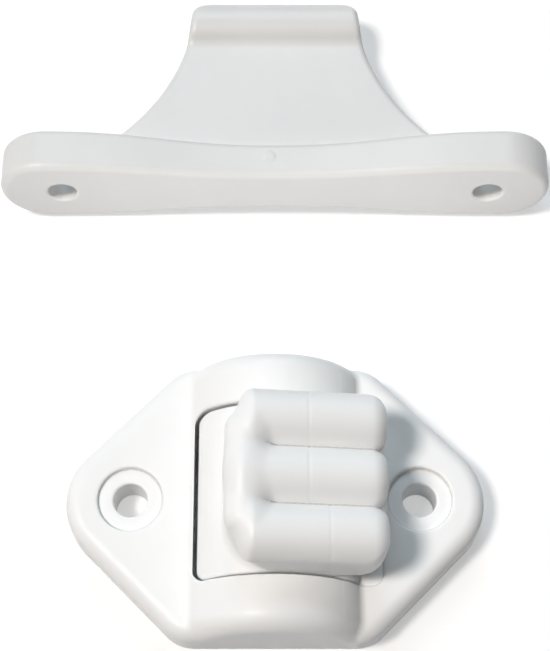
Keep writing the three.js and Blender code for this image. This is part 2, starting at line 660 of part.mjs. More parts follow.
const group = new THREE.Group();
group.add(meshOf('catch_base', catchBase(), white));
group.add(meshOf('finger_lever', fingerLever(), white));
group.add(meshOf('pivot_pin', pivotPin(), steel));
group.add(meshOf('torsion_spring', torsionSpring(), steel));
group.add(meshOf('back_plate', backPlate(), palePlate));
plateScrewPlaces.forEach(([x, y], i) => {
  group.add(meshOf(`back_plate_screw_${i + 1}`, plateScrew(x, y), steel));
});
group.add(layKeeper(meshOf('keeper', keeper(), white)));

export default group;
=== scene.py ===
"""Looks of the two-part door catch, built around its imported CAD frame.

Each moulded piece is a distance field in millimetres: plain shapes that are welded and cut with round edges,
as in a mould, and then skinned with a fine mesh. Blender's own units are metres.
"""

import math

import bpy
import numpy as np
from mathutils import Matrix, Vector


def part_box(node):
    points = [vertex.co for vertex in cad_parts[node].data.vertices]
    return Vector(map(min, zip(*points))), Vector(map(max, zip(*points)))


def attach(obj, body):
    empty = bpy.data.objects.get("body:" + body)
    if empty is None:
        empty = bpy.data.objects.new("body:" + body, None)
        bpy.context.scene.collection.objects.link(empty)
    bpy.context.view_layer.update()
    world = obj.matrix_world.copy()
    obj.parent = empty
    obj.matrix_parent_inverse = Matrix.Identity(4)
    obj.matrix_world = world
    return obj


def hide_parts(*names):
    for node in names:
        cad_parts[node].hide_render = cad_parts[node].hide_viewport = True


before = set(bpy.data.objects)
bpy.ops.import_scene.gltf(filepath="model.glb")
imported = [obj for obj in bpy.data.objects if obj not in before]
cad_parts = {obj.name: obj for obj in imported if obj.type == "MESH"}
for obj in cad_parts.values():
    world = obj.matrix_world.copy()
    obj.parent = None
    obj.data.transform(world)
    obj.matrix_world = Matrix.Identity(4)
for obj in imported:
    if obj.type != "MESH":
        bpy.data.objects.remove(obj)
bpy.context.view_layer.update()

import openvdb
from mathutils import Matrix, Vector

MM = 0.001

# Fields reach this far past a piece, in grid steps, and cuts this far past what they cut, in millimetres
GRID_MARGIN = 3
CUT_MARGIN = 5
ARC_STEPS = 24

# Edges shorter than the root of this are skipped, and points settle as if no slope were gentler than this
SAME_POINT = 1e-12
LEAST_STEEPNESS = 0.25

# Catch base
SCREW_X = 22.2
SCREW_HOLE_RADIUS = 2.6
COUNTERBORE_RADIUS = 5
COUNTERBORE_DEPTH = 0.8
TIP_RADIUS = 10
HALF_BASE = 21.6
BASE_CORNER = 6
FLANGE_THICKNESS = 7.4
FLANGE_EDGE = 2.4
BARREL_HALF_WIDTH = 12.9
BARREL_RISE = 8.2
BARREL_END = 3
BARREL_WALL = 2.2
BARREL_FILLET = 0.7
HALF_OPENING = 13.4
OPENING_BACK = 12.4
OPENING_REACH = 16.5
OPENING_CORNER = 2.2
OPENING_EDGE = 0.25
CHEEK_BACK = 16
BACK_EDGE = 0.25
HOLE_EDGE = 0.3

# Finger lever
PIVOT_HEIGHT = 5.2
HUB_CLEARANCE = 0.6
HUB_INNER_RADIUS = 7.4
HUB_BACK_ANGLE = 150
HUB_FRONT_ANGLE = 22
HALF_LEVER = 13.05
LEVER_WEB = 2.6
LEVER_BOSS_RADIUS = 2.3
LEVER_EDGE = 0.35
RIDGE_PITCH = 8.65
RIDGE_RADIUS = HALF_LEVER - RIDGE_PITCH
RIDGE_START = -5
RIDGE_START_HEIGHT = 20.85
RIDGE_START_LENGTH = 2.4
RIDGE_HEEL_DROP = 1.6
RIDGE_CORNER = 8.5
OUTER_RIDGE_SETBACK = 1.6
BROW_RADIUS = 3
BROW_HALF_LENGTH = 6.5
BROW_RISE = 0.8
BROW_FILLET = 1.5
RIDGE_SLOPE = math.radians(9)
RIDGE_VALLEY = 0.06
VALLEY_ANGLE = math.radians(60)
HEEL_FILLET = 1.2
LEVER_REACH = 16.7
LEVER_CORNER = 4
LEVER_BACK_CORNER = 2.4
TIP_EDGE = 2.4
NOSE_BOTTOM = 14.8
NOSE_ROOT = 12.2
WITNESS_DEPTH = 0.05
WITNESS_HALF_WIDTH = 0.22
WITNESS_PLACES = ((RIDGE_PITCH, 5.0), (0, 5.0), (-RIDGE_PITCH, 8.0))

# Pin, spring, back plate and its screws
PIN_RADIUS = 1.25
PIN_CLEARANCE = 0.08
PIN_REACH = 15.7
PIN_EDGE = 0.3
LEDGE_START = 7.9
STOP_CLEARANCE = 0.3
SPRING_WIRE = 0.8
SPRING_COIL_RADIUS = 1.85
SPRING_PITCH = 1.3
SPRING_TURNS = 5
SPRING_LEG_ANGLE = math.radians(69)
SPRING_BASE_ANGLE = math.radians(-77)
SPRING_LEVER_LEG = 6.4
SPRING_BASE_LEG = 8.5
SPRING_SIDES = 16
SPRING_STEPS_PER_TURN = 40
OFF_THE_WIRE = (0.2, 1, 0.1)
PLATE_THICKNESS = 1
PLATE_RIM = 2.2
PLATE_HALF_LENGTH = 17.6
PLATE_CLEARANCE = 0.25
PLATE_EDGE = 0.2
PAD_LENGTH = 2
PLATE_SCREWS = 4
PLATE_SCREW_X = 14.6
PLATE_SCREW_INSET = 2.4
SCREW_HEAD_RADIUS = 1.8
SCREW_HEAD_HEIGHT = 0.8
SCREW_RADIUS = 1
SCREW_LENGTH = 4.8
SCREW_CLEARANCE = 0.1
SCREW_EDGE = 0.06
SCREW_SLOT_HALF = (1.2, 0.25)
SCREW_SLOT_DEPTH = 0.4
THREAD_PITCH = 0.7
THREAD_DEPTH = 0.2

# Keeper, in its own frame: mounting face at Y = 0, tongue along +Y, flange standing in Z
KEEPER_HALF_LENGTH = 45
KEEPER_HOLE_X = 34.9
KEEPER_HOLE_RADIUS = 2.4
KEEPER_SINK_RADIUS = 4.5
KEEPER_SINK_DEPTH = 2.1
KEEPER_END_RADIUS = 7.5
KEEPER_HALF_WAIST = 5.1
KEEPER_THICKNESS = 7.6
KEEPER_MIDDLE_THICKNESS = 6.4
KEEPER_EDGE = 1.2
TONGUE_LENGTH = 29.7
TONGUE_HALF_THICKNESS = 2.2
TONGUE_ROOT = 1.6
TONGUE_EDGE = 1.1
HALF_HEAD = 14
HEAD_CORNER = 4
HALF_FLARE = 31.5
BEAD_RADIUS = 4.6
BEAD_FILLET = 0.8
KEEPER_Y = 51.6
GATE_MARK_X = -0.9
GATE_MARK_RADIUS = 0.9
GATE_MARK_HEIGHT = 0.12

# Places worked out from the sizes above
BARREL_RADIUS = (BARREL_HALF_WIDTH**2 + BARREL_RISE**2) / (2 * BARREL_RISE)
BARREL_TOP = FLANGE_THICKNESS + BARREL_RISE
BARREL_AXIS = BARREL_TOP - BARREL_RADIUS
HUB_RADIUS = BARREL_RADIUS - HUB_CLEARANCE
RIDGE_BACK_X = RIDGE_START - RIDGE_START_LENGTH
HUB_FRONT_X = HUB_RADIUS * math.cos(math.radians(HUB_FRONT_ANGLE))
HUB_FRONT_HEIGHT = BARREL_AXIS + HUB_RADIUS * math.sin(math.radians(HUB_FRONT_ANGLE))
HUB_BACK_X = HUB_RADIUS * math.cos(math.radians(HUB_BACK_ANGLE))
HUB_BACK_HEIGHT = BARREL_AXIS + HUB_RADIUS * math.sin(math.radians(HUB_BACK_ANGLE))
HUB_REACH = math.hypot(HUB_BACK_X, HUB_BACK_HEIGHT - PIVOT_HEIGHT)
LEDGE_RISE = LEDGE_START * (HUB_FRONT_HEIGHT - PIVOT_HEIGHT) / HUB_FRONT_X
LEDGE_TOP = PIVOT_HEIGHT + LEDGE_RISE - STOP_CLEARANCE
PAD_TOP = PIVOT_HEIGHT - PIN_RADIUS - STOP_CLEARANCE
DIAGONAL = math.sqrt(0.5)
SIDE_DISTANCE = SCREW_X * DIAGONAL + TIP_RADIUS
PLATE_SCREW_Y = (SIDE_DISTANCE - PLATE_RIM - PLATE_SCREW_INSET) / DIAGONAL - PLATE_SCREW_X
BEAD_Y = KEEPER_THICKNESS + TONGUE_LENGTH - BEAD_RADIUS

# Grid steps, in millimetres
BASE_STEP = 0.25
LEVER_STEP = RIDGE_PITCH / 44
KEEPER_STEP = 0.25
PLATE_STEP = 0.2
PIN_STEP = 0.12
SCREW_STEP = 0.06


# Outlines: lists of points


def arc(centre_u, centre_v, radius, start, end):
    turns = np.radians(np.linspace(start, end, ARC_STEPS))
    return list(zip(centre_u + radius * np.cos(turns), centre_v + radius * np.sin(turns)))


def bezier(*corners):
    t = np.linspace(0, 1, ARC_STEPS)[:, None]
    a, b, c, d = (np.array(corner, float) for corner in corners)
    points = a * (1 - t) ** 3 + 3 * b * t * (1 - t) ** 2 + 3 * c * t**2 * (1 - t) + d * t**3
    return [tuple(point) for point in points]


# Fields: distances to a shape, negative inside it


def polygon(points, u, v):
    nearest = np.inf
    inside = np.zeros(np.broadcast(u, v).shape, bool)
    for (start_u, start_v), (end_u, end_v) in zip(points, points[1:] + points[:1]):
        edge_u, edge_v = end_u - start_u, end_v - start_v
        length = edge_u**2 + edge_v**2
        if length < SAME_POINT:
            continue
        to_u, to_v = u - start_u, v - start_v
        share = np.clip((to_u * edge_u + to_v * edge_v) / length, 0, 1)
        nearest = np.minimum(nearest, (to_u - share * edge_u) ** 2 + (to_v - share * edge_v) ** 2)
        rising = (start_v <= v) & (end_v > v)
        falling = (end_v <= v) & (start_v > v)
        left = edge_u * to_v - edge_v * to_u
        inside ^= (rising & (left > 0)) | (falling & (left < 0))
    return np.where(inside, -1, 1) * np.sqrt(nearest)


def extrude(outline, along, low, high, edge=0.0):
    side = outline + edge
    cap = np.abs(along - (low + high) / 2) - (high - low) / 2 + edge
    outside = np.hypot(np.maximum(side, 0), np.maximum(cap, 0))
    return np.minimum(np.maximum(side, cap), 0) + outside - edge


def rectangle(u, v, low, high, corner=0.0):
    wide = np.abs(u - (low[0] + high[0]) / 2) - (high[0] - low[0]) / 2 + corner
    tall = np.abs(v - (low[1] + high[1]) / 2) - (high[1] - low[1]) / 2 + corner
    return np.minimum(np.maximum(wide, tall), 0) + np.hypot(np.maximum(wide, 0), np.maximum(tall, 0)) - corner


def weld(a, b, fillet):
    """Both shapes, with a round fillet where they meet."""
    corner = np.hypot(np.maximum(fillet - a, 0), np.maximum(fillet - b, 0))
    return np.maximum(fillet, np.minimum(a, b)) - corner


def keep(a, b, edge):
    """What two shapes share, with a rounded edge."""
    return -weld(-a, -b, edge)


def cut(a, b, edge):
    """The first shape without the second, with a rounded edge."""
    return -weld(-a, b, edge)


# Catch base


def base_outline():
    corner_y = HALF_BASE - BASE_CORNER
    corner_x = (SIDE_DISTANCE - BASE_CORNER) / DIAGONAL - corner_y
    return (
        arc(SCREW_X, 0, TIP_RADIUS, -45, 45)
        + arc(corner_x, corner_y, BASE_CORNER, 45, 90)
        + arc(-corner_x, corner_y, BASE_CORNER, 90, 135)
        + arc(-SCREW_X, 0, TIP_RADIUS, 135, 225)
        + arc(-corner_x, -corner_y, BASE_CORNER, 225, 270)
        + arc(corner_x, -corner_y, BASE_CORNER, 270, 315)
    )


def plate_field(x, y, grow):
    slanted = (np.abs(x) + np.abs(y)) * DIAGONAL - (SIDE_DISTANCE - PLATE_RIM)
    square = np.maximum(np.abs(x) - PLATE_HALF_LENGTH, np.abs(y) - (HALF_BASE - PLATE_RIM))
    return np.maximum(slanted, square) - grow


def barrel(x, y, z, inset, end):
    radial = np.hypot(x, z - BARREL_AXIS) - BARREL_RADIUS + inset
    return extrude(radial, y, -HALF_BASE + inset, HALF_BASE - inset, end)


def opening(x, y, z):
    high = BARREL_TOP + CUT_MARGIN
    near, far = (-OPENING_BACK, -HALF_OPENING), (OPENING_REACH, HALF_OPENING)
    window = rectangle(x, y, near, far, OPENING_CORNER)
    well = rectangle(x, y, near, (LEDGE_START, HALF_OPENING), OPENING_CORNER)
    return np.minimum(extrude(window, z, LEDGE_TOP, high), extrude(well, z, -CUT_MARGIN, high))


def back_hollows(x, y, z):
    recess = extrude(plate_field(x, y, PLATE_CLEARANCE), z, -CUT_MARGIN, PLATE_THICKNESS + PLATE_CLEARANCE)
    seat_radius = PIN_RADIUS + PIN_CLEARANCE
    seat = np.hypot(x, z - PIVOT_HEIGHT) - seat_radius
    slot = rectangle(x, z, (-seat_radius, -CUT_MARGIN), (seat_radius, PIVOT_HEIGHT))
    pin_slot = extrude(np.minimum(seat, slot), y, -CHEEK_BACK - CUT_MARGIN, CHEEK_BACK + CUT_MARGIN)
    cheeks = np.maximum(barrel(x, y, z, BARREL_WALL, BARREL_END - BARREL_WALL), CHEEK_BACK - np.abs(y))
    pilot_radius = SCREW_RADIUS + SCREW_CLEARANCE
    pilot = np.hypot(np.abs(x) - PLATE_SCREW_X, np.abs(y) - PLATE_SCREW_Y) - pilot_radius
    pilots = extrude(pilot, z, -CUT_MARGIN, SCREW_LENGTH + PLATE_CLEARANCE)
    return np.minimum(np.minimum(recess, pin_slot), np.minimum(cheeks, pilots))


def catch_base(x, y, z):
    flange = extrude(polygon(base_outline(), x, y), z, -CUT_MARGIN, FLANGE_THICKNESS, FLANGE_EDGE)
    above = np.clip((z - FLANGE_THICKNESS + FLANGE_EDGE) / FLANGE_EDGE, 0, 1)
    body = weld(flange, barrel(x, y, z, 0, BARREL_END), BARREL_FILLET * above)
    body = cut(body, opening(x, y, z), OPENING_EDGE)
    from_screw = np.hypot(np.abs(x) - SCREW_X, y)
    high = FLANGE_THICKNESS + CUT_MARGIN
    bore = extrude(from_screw - COUNTERBORE_RADIUS, z, FLANGE_THICKNESS - COUNTERBORE_DEPTH, high)
    body = cut(cut(body, bore, HOLE_EDGE), from_screw - SCREW_HOLE_RADIUS, HOLE_EDGE)
    return cut(keep(body, -z, BACK_EDGE), back_hollows(x, y, z), BACK_EDGE)


# Finger lever


def ridge(x, y, z, middle):
    """The upper half of a round bar with a blunt round start, running down towards the tip."""
    from_x, from_z = x - RIDGE_START, z - RIDGE_START_HEIGHT
    along = from_x * math.cos(RIDGE_SLOPE) - from_z * math.sin(RIDGE_SLOPE)
    above = from_x * math.sin(RIDGE_SLOPE) + from_z * math.cos(RIDGE_SLOPE)
    setback = OUTER_RIDGE_SETBACK * abs(middle) / RIDGE_PITCH / math.cos(RIDGE_SLOPE)
    behind = np.minimum(along - setback, 0) * RIDGE_RADIUS / RIDGE_START_LENGTH
    bar = np.hypot(np.hypot(behind, above), y - middle) - RIDGE_RADIUS
    return np.maximum(bar, -above)


def lever_nose(x, y, z):
    """The block under the ridges, with its back corners rounded."""
    drop = (LEVER_REACH - RIDGE_START) * math.tan(RIDGE_SLOPE)
    side = [
        (RIDGE_BACK_X, PIVOT_HEIGHT + HUB_INNER_RADIUS),
        (HUB_INNER_RADIUS, NOSE_ROOT),
        (HUB_FRONT_X, NOSE_ROOT),
        (LEVER_REACH, NOSE_BOTTOM),
        (LEVER_REACH + CUT_MARGIN, NOSE_BOTTOM),
        (LEVER_REACH + CUT_MARGIN, RIDGE_START_HEIGHT - drop),
        (LEVER_REACH, RIDGE_START_HEIGHT - drop),
        (RIDGE_START, RIDGE_START_HEIGHT),
        (RIDGE_BACK_X, RIDGE_START_HEIGHT - RIDGE_HEEL_DROP),
    ]
    plan = rectangle(x, y, (RIDGE_BACK_X, -HALF_LEVER), (2 * LEVER_REACH, HALF_LEVER), RIDGE_CORNER)
    return keep(polygon(side, x, z), plan, LEVER_EDGE)


def brow(x, y, z):
    """The round bar across the start of the ridges, where the valleys between them run out."""
    beyond = np.maximum(np.abs(y) - BROW_HALF_LENGTH, 0)
    from_axis = np.hypot(x - RIDGE_BACK_X - BROW_RADIUS, z - RIDGE_START_HEIGHT - BROW_RISE)
    return np.hypot(from_axis, beyond) - BROW_RADIUS


def lever_hub(x, z):
    outline = arc(0, BARREL_AXIS, HUB_RADIUS, HUB_FRONT_ANGLE, HUB_BACK_ANGLE) + [(0, PIVOT_HEIGHT)]
    return np.minimum(polygon(outline, x, z), np.hypot(x, z - PIVOT_HEIGHT) - LEVER_BOSS_RADIUS)


def witness_lines(x, y):
    """How deep the mould's fine lines run across the ridges."""
    depth = 0
    for middle, place in WITNESS_PLACES:
        line = np.exp(-(((x - place) / WITNESS_HALF_WIDTH) ** 2))
        depth = depth + line * (np.abs(y - middle) < RIDGE_PITCH / 2)
    return WITNESS_DEPTH * depth


def finger_lever(x, y, z):
    ridges = ridge(x, y, z, 0)
    for middle in (-RIDGE_PITCH, RIDGE_PITCH):
        ridges = weld(ridges, ridge(x, y, z, middle), RIDGE_VALLEY)
    body = weld(ridges, brow(x, y, z), BROW_FILLET)
    body = weld(body, lever_nose(x, y, z), LEVER_EDGE)
    body = weld(body, lever_hub(x, z), HEEL_FILLET) + witness_lines(x, y)
    body = keep(body, x - LEVER_REACH, TIP_EDGE)
    far = 2 * LEVER_REACH
    back = rectangle(x, y, (-HUB_REACH, -HALF_LEVER), (far, HALF_LEVER), LEVER_BACK_CORNER)
    front = rectangle(x, y, (-far, -HALF_LEVER), (LEVER_REACH, HALF_LEVER), LEVER_CORNER)
    body = keep(body, np.maximum(back, front), LEVER_EDGE)
    from_pivot = np.hypot(x, z - PIVOT_HEIGHT)
    half_hollow = HALF_LEVER - LEVER_WEB
    body = cut(body, extrude(from_pivot - HUB_INNER_RADIUS, y, -half_hollow, half_hollow), LEVER_EDGE)
    return cut(body, from_pivot - PIN_RADIUS - PIN_CLEARANCE, BACK_EDGE)


# Pin, back plate and screws


def pivot_pin(x, y, z):
    return extrude(np.hypot(x, z - PIVOT_HEIGHT) - PIN_RADIUS, y, -PIN_REACH, PIN_REACH, PIN_EDGE)


def screw_outline(grow):
    head, shank = SCREW_HEAD_RADIUS + grow, SCREW_RADIUS + grow
    return [
        (-head, 0),
        (head, 0),
        (shank, SCREW_HEAD_HEIGHT),
        (shank, SCREW_LENGTH - shank),
        (0, SCREW_LENGTH),
        (-shank, SCREW_LENGTH - shank),
        (-shank, SCREW_HEAD_HEIGHT),
    ]


def back_plate(x, y, z):
    body = extrude(plate_field(x, y, 0), z, 0, PLATE_THICKNESS, PLATE_EDGE)
    near = HALF_OPENING + PLATE_CLEARANCE
    pad = rectangle(x, np.abs(y), (-PIN_RADIUS, near), (PIN_RADIUS, near + PAD_LENGTH))
    body = np.minimum(body, extrude(pad, z, PLATE_THICKNESS / 2, PAD_TOP, PLATE_EDGE))
    from_screw = np.hypot(np.abs(x) - PLATE_SCREW_X, np.abs(y) - PLATE_SCREW_Y)
    return cut(body, polygon(screw_outline(SCREW_CLEARANCE), from_screw, z), SCREW_EDGE)


def plate_screw(x, y, z):
    radial = np.hypot(x, y)
    turn = (z / THREAD_PITCH - np.arctan2(y, x) / (2 * math.pi)) % 1
    groove = THREAD_DEPTH * (1 - np.abs(2 * turn - 1)) * (z > SCREW_HEAD_HEIGHT + THREAD_DEPTH)
    body = polygon(screw_outline(0), radial, z) + groove
    long, short = SCREW_SLOT_HALF
    slot = np.minimum(
        rectangle(x, y, (-long, -short), (long, short)),
        rectangle(x, y, (-short, -long), (short, long)),
    )
    return cut(body, extrude(slot, z, -CUT_MARGIN, SCREW_SLOT_DEPTH), SCREW_EDGE)


# Keeper


def dog_bone():
    end_x, end, waist = KEEPER_HALF_LENGTH - KEEPER_END_RADIUS, KEEPER_END_RADIUS, KEEPER_HALF_WAIST
    bend = end_x / 2
    return (
        arc(end_x, 0, end, -90, 90)
        + bezier((end_x, end), (bend, end), (bend, waist), (0, waist))
        + bezier((0, waist), (-bend, waist), (-bend, end), (-end_x, end))
        + arc(-end_x, 0, end, 90, 270)
        + bezier((-end_x, -end), (-bend, -end), (-bend, -waist), (0, -waist))
        + bezier((0, -waist), (bend, -waist), (bend, -end), (end_x, -end))
    )


def tongue_plan():
    root = KEEPER_THICKNESS - TONGUE_ROOT
    top = KEEPER_THICKNESS + TONGUE_LENGTH
    flare_out = HALF_FLARE - HALF_HEAD
    sweep = 2 * math.atan2(flare_out, top - root)
    radius = flare_out / (1 - math.cos(sweep))
    start = math.asin(HEAD_CORNER / radius)
    flare_x = HALF_HEAD + radius
    corner_x = flare_x - radius * math.cos(start) - HEAD_CORNER
    first, last = math.degrees(start), math.degrees(sweep)
    return (
        arc(corner_x, top - HEAD_CORNER, HEAD_CORNER, 0, 90)
        + arc(-corner_x, top - HEAD_CORNER, HEAD_CORNER, 90, 180)
        + arc(-flare_x, top, radius, -first, -last)
        + arc(flare_x, top, radius, 180 + last, 180 + first)
    )


def keeper(x, y, z):
    end_x = KEEPER_HALF_LENGTH - KEEPER_END_RADIUS
    hollow = (1 + np.cos(math.pi * np.minimum(np.abs(x) / end_x, 1))) / 2
    thickness = KEEPER_THICKNESS - (KEEPER_THICKNESS - KEEPER_MIDDLE_THICKNESS) * hollow
    flange = extrude(polygon(dog_bone(), x, z), y, 0, thickness, KEEPER_EDGE)
    neck = np.maximum(np.abs(z) - TONGUE_HALF_THICKNESS, y - BEAD_Y)
    side = weld(neck, np.hypot(y - BEAD_Y, z) - BEAD_RADIUS, BEAD_FILLET)
    tongue = keep(side, polygon(tongue_plan(), x, y), TONGUE_EDGE)
    body = weld(flange, tongue, TONGUE_ROOT * (y > KEEPER_THICKNESS / 2))
    gate = extrude(
        np.hypot(x - GATE_MARK_X, y - KEEPER_THICKNESS / 2) - GATE_MARK_RADIUS,
        z,
        0,
        KEEPER_HALF_WAIST + GATE_MARK_HEIGHT,
        GATE_MARK_HEIGHT,
    )
    body = np.minimum(body, gate)
    hole = [
        (-KEEPER_SINK_RADIUS, -CUT_MARGIN),
        (KEEPER_HOLE_RADIUS, -CUT_MARGIN),
        (KEEPER_HOLE_RADIUS, KEEPER_THICKNESS - KEEPER_SINK_DEPTH),
        (KEEPER_SINK_RADIUS, KEEPER_THICKNESS),
        (KEEPER_SINK_RADIUS, KEEPER_THICKNESS + CUT_MARGIN),
        (-KEEPER_SINK_RADIUS, KEEPER_THICKNESS + CUT_MARGIN),
    ]
    from_hole = np.hypot(np.abs(x) - KEEPER_HOLE_X, z)
    return cut(body, polygon(hole, from_hole, y), HOLE_EDGE)


def keeper_place():
    """The keeper lies on the lower edge of its flange and on its bead."""
    lean = math.atan2(KEEPER_END_RADIUS - BEAD_RADIUS, BEAD_Y - KEEPER_THICKNESS / 2)
    return Matrix.Translation((0, KEEPER_Y * MM, 0)) @ Matrix.Rotation(-lean, 4, "X")


# Meshes


def mesh_object(name, points, faces):
    mesh = bpy.data.meshes.new(name)
    mesh.from_pydata(points, [], faces)
    mesh.shade_smooth()
    mesh.update()
    piece = bpy.data.objects.new(name, mesh)
    bpy.context.scene.collection.objects.link(piece)
    return piece


def settle(points, field, reach):
    """Moves points along the field's slope, onto the surface where it is zero."""
    x, y, z = points.T
    value = field(x, y, z)
    ahead = (field(x + reach, y, z), field(x, y + reach, z), field(x, y, z + reach))
    behind = (field(x - reach, y, z), field(x, y - reach, z), field(x, y, z - reach))
    slope = np.stack([(there - here) / (2 * reach) for there, here in zip(ahead, behind)], 1)
    steepness = np.sum(slope**2, 1)
    move = np.clip(value / np.maximum(steepness, LEAST_STEEPNESS), -reach, reach)
    return points - slope * move[:, None]


def skin(name, field, low, high, step):
    """A piece whose surface is where a field is zero."""
    margin = GRID_MARGIN * step
    axes = [np.arange(a - margin, b + margin, step) for a, b in zip(low, high)]
    x, y, z = np.meshgrid(*axes, indexing="ij", sparse=True)
    values = np.broadcast_to(field(x, y, z), [len(axis) for axis in axes])
    grid = openvdb.FloatGrid(margin)
    grid.copyFromArray(np.ascontiguousarray(values, dtype=np.float32))
    points, quads = grid.convertToQuads(isovalue=0.0)
    points = points * step + np.array([axis[0] for axis in axes])
    points = settle(points, field, step / 4)
    return mesh_object(name, points * MM, quads)


def node_box(node):
    low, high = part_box(node)
    return [value / MM for value in low], [value / MM for value in high]


def tube(name, path, radius, sides):
    """A round wire along a path, with flat ends."""
    path = np.array(path)
    ahead = np.gradient(path, axis=0)
    ahead /= np.linalg.norm(ahead, axis=1)[:, None]
    first = np.cross(ahead, OFF_THE_WIRE)
    first /= np.linalg.norm(first, axis=1)[:, None]
    second = np.cross(ahead, first)
    turns = 2 * math.pi * np.arange(sides) / sides
    ring = first[:, None] * np.cos(turns)[:, None] + second[:, None] * np.sin(turns)[:, None]
    points = (path[:, None] + radius * ring).reshape(-1, 3)
    faces = []
    for i in range(len(path) - 1):
        for k in range(sides):
            a, b = i * sides + k, i * sides + (k + 1) % sides
            faces.append((a, b, b + sides, a + sides))
    faces.append(tuple(range(sides))[::-1])
    faces.append(tuple(range(len(points) - sides, len(points))))
    return mesh_object(name, points * MM, faces)


def spring_path():
    """From the hub's wall, round the pin and out along the back plate."""
    end = SPRING_BASE_ANGLE - 2 * math.pi * SPRING_TURNS
    turns = np.linspace(SPRING_LEG_ANGLE, end, SPRING_STEPS_PER_TURN * SPRING_TURNS)
    length = SPRING_PITCH * (SPRING_LEG_ANGLE - end) / (2 * math.pi)
    y = np.linspace(-length / 2, length / 2, len(turns))
    x = SPRING_COIL_RADIUS * np.cos(turns)
    z = PIVOT_HEIGHT + SPRING_COIL_RADIUS * np.sin(turns)
    coil = np.stack([x, y, z], 1)
    out = np.array([-math.sin(SPRING_LEG_ANGLE), 0, math.cos(SPRING_LEG_ANGLE)])
    shares = np.linspace(0, 1, SPRING_SIDES)[1:, None]
    lever_leg = (coil[0] + SPRING_LEVER_LEG * out * shares)[::-1]
    away = np.array([math.sin(end), 0, -math.cos(end)])
    base_leg = coil[-1] + SPRING_BASE_LEG * away * shares
    return np.concatenate([lever_leg, coil, base_leg])


# Materials: tints are shares of a colour, bumps a depth in millimetres with a strength

CLOUD_TINT = 0.965
CLOUD_SCALE = 60
RUBBED_TINT = 1.03
RUBBED_EDGES = (0.58, 0.7)
# Painted shade: the base colour is darkened in sharp inner creases, where shade falls
CREASE_SHADE_TINT = 0.6
SHADED_CREASES = (0.43, 0.47)
SPECK_SCALE = 900
SPECK_ROUGHNESS = 0.06
FLOW_SCALE = 140
FLOW_BUMP = (0.06, 0.25)
GRAIN_SCALE = 3500
GRAIN_BUMP = (0.012, 0.35)
PLASTIC_IOR = 1.49
TRANSLUCENT_COLOUR = (1.0, 0.95, 0.9)
TRANSLUCENT_DEPTH = 0.8 * MM
DULL_TINT = 0.8
DULL_SCALE = 250
BRIGHT_TINT = 1.15
BRIGHT_EDGES = (0.54, 0.65)
STREAK_SCALE = 900
STREAK_BUMP = (0.01, 0.3)
STREAK_SMOOTHER = 0.08
STREAK_ROUGHER = 0.1


class Nodes:
    """A material with a Principled shader and short names for what feeds it."""

    def __init__(self, name):
        self.material = bpy.data.materials.new(name)
        self.material.use_nodes = True
        self.tree = self.material.node_tree
        self.shader = self.tree.nodes["Principled BSDF"]
        self.place = self.add("ShaderNodeTexCoord").outputs["Object"]

    def add(self, kind, **values):
        node = self.tree.nodes.new(kind)
        for key, value in values.items():
            setattr(node, key, value)
        return node

    def link(self, source, target):
        self.tree.links.new(source, target)

    def noise(self, scale, detail=3.0, stretch=None):
        place = self.place
        if stretch:
            mapping = self.add("ShaderNodeMapping")
            mapping.inputs["Scale"].default_value = stretch
            self.link(place, mapping.inputs["Vector"])
            place = mapping.outputs["Vector"]
        node = self.add("ShaderNodeTexNoise")
        node.inputs["Scale"].default_value = scale
        node.inputs["Detail"].default_value = detail
        self.link(place, node.inputs["Vector"])
        return node.outputs["Fac"]

    def spread(self, source, low, high, from_low=0.3, from_high=0.7):
        node = self.add("ShaderNodeMapRange")
        node.inputs["From Min"].default_value = from_low
        node.inputs["From Max"].default_value = from_high
        node.inputs["To Min"].default_value = low
        node.inputs["To Max"].default_value = high
        self.link(source, node.inputs["Value"])
        return node.outputs["Result"]

    def mix(self, share, first, second):
        node = self.add("ShaderNodeMix", data_type="RGBA")
        self.link(share, node.inputs["Factor"])
        for socket, value in (("A", first), ("B", second)):
            target = next(i for i in node.inputs if i.name == socket and i.type == "RGBA")
            if isinstance(value, bpy.types.NodeSocket):
                self.link(value, target)
            else:
                target.default_value = (*value, 1)
        return next(o for o in node.outputs if o.type == "RGBA")

    def bump(self, layers):
        normal = None
        for source, depth, strength in layers:
            node = self.add("ShaderNodeBump")
            node.inputs["Strength"].default_value = strength
            node.inputs["Distance"].default_value = depth * MM
            self.link(source, node.inputs["Height"])
            if normal:
                self.link(normal, node.inputs["Normal"])
            normal = node.outputs["Normal"]
        self.link(normal, self.shader.inputs["Normal"])

    def edges(self, low, high):
        """From 0 on flat faces to 1 on sharp outer edges."""
        pointed = self.add("ShaderNodeNewGeometry").outputs["Pointiness"]
        return self.spread(pointed, 0, 1, low, high)

    def creases(self, low, high):
        """From 1 in sharp inner creases to 0 on flat faces."""
        pointed = self.add("ShaderNodeNewGeometry").outputs["Pointiness"]
        return self.spread(pointed, 1, 0, low, high)


